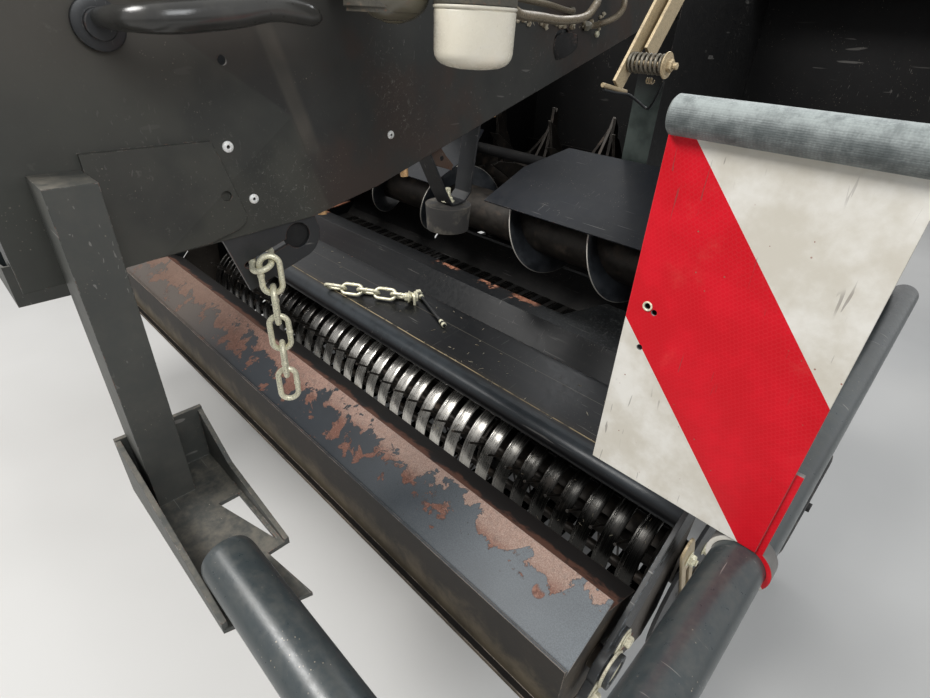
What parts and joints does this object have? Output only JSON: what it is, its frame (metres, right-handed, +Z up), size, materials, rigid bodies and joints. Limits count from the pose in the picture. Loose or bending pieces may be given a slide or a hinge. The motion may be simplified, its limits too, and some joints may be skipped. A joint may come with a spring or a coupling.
{
  "type": "square baler intake section",
  "caption": "Intake section of a large square baler: pickup with tine reel, press roller and guard plate, cross auger, feed rotor and drawbar root, in worn black paint",
  "frame": {"origin": "Middle of the rear mounting flange, on its rear face", "axes": "X across the machine, +X to the side with the filter; Y to the rear; Z up"},
  "size_m": [2.696, 2.4, 1.88],
  "materials": {
    "frame_paint": "satin",
    "black_paint": "satin",
    "shield_paint": "satin",
    "bow_paint": "gloss",
    "rusty_paint": "worn, rusty",
    "wall_steel": "dull",
    "worn_steel": "polished by crop",
    "dark_steel": "dull",
    "cast_grey": "dusty",
    "cream_paint": "gloss",
    "zinc": "zinc plated",
    "tan_zinc": "yellow zinc",
    "rubber": "matt",
    "tyre": "matt",
    "board_red": "retroreflective"
  },
  "bodies": {
    "frame": {"cross_beam": "frame_paint", "hangers": "frame_paint", "channel_walls": "wall_steel", "channel_floor": "wall_steel", "chamber_panel": "black_paint", "drawbar_beams": "black_paint", "drawbar_ties": "black_paint", "side_shield_right": "shield_paint", "side_shield_left": "shield_paint", "grab_handle": "black_paint", "filter_head": "cast_grey", "filter_canister": "cream_paint", "oil_pipes": "tan_zinc", "chain_brackets": "wall_steel", "tail_chain": "zinc", "stop_bracket": "black_paint", "stop_rubber": "rubber", "latch_lever": "tan_zinc", "latch_spring": "tan_zinc", "guard_bow_right": "bow_paint", "guard_bow_left": "bow_paint", "bow_posts": "black_paint", "marker_boards": "board_red", "board_trims": "rubber"},
    "pickup": {"pickup_side_right": "black_paint", "pickup_side_left": "black_paint", "pickup_tubes": "black_paint", "crop_floor": "wall_steel", "stripper_bands": "worn_steel", "auger_cover_right": "black_paint", "auger_cover_left": "black_paint", "wheel_arms": "black_paint"},
    "reel": {"reel": "worn_steel"},
    "auger": {"auger_tube": "dark_steel", "auger_flights": "black_paint"},
    "guard": {"guard_plate": "black_paint", "guard_arm_right": "frame_paint", "guard_arm_left": "frame_paint", "tie_chain": "zinc"},
    "press_roller": {"press_roller": "rusty_paint"},
    "rotor": {"feed_rotor": "dark_steel"},
    "wheel_right": {"gauge_rim_right": "cast_grey", "gauge_tyre_right": "tyre"},
    "wheel_left": {"gauge_rim_left": "cast_grey", "gauge_tyre_left": "tyre"}
  },
  "joints": [
    {"name": "pickup_lift", "type": "hinge", "parent": "frame", "child": "pickup", "pos_m": [0, -0.4, -0.87], "axis": [1, 0, 0], "range_deg": [0, 11]},
    {"name": "guard_lift", "type": "hinge", "parent": "pickup", "child": "guard", "pos_m": [0, -1.18, -0.99], "axis": [-1, 0, 0], "range_deg": [0, 20]},
    {"name": "roller_spin", "type": "hinge", "parent": "guard", "child": "press_roller", "pos_m": [0, -1.848, -1.278], "axis": [1, 0, 0], "continuous": true},
    {"name": "reel_spin", "type": "hinge", "parent": "pickup", "child": "reel", "pos_m": [0, -1.434, -1.378], "axis": [1, 0, 0], "continuous": true},
    {"name": "auger_spin", "type": "hinge", "parent": "pickup", "child": "auger", "pos_m": [0, -0.921, -0.871], "axis": [1, 0, 0], "continuous": true},
    {"name": "rotor_spin", "type": "hinge", "parent": "frame", "child": "rotor", "pos_m": [0, -0.4, -0.87], "axis": [1, 0, 0], "continuous": true},
    {"name": "wheel_spin_right", "type": "hinge", "parent": "pickup", "child": "wheel_right", "pos_m": [1.279, -0.83, -1.5], "axis": [1, 0, 0], "continuous": true},
    {"name": "wheel_spin_left", "type": "hinge", "parent": "pickup", "child": "wheel_left", "pos_m": [-1.279, -0.83, -1.5], "axis": [1, 0, 0], "continuous": true}
  ]
}
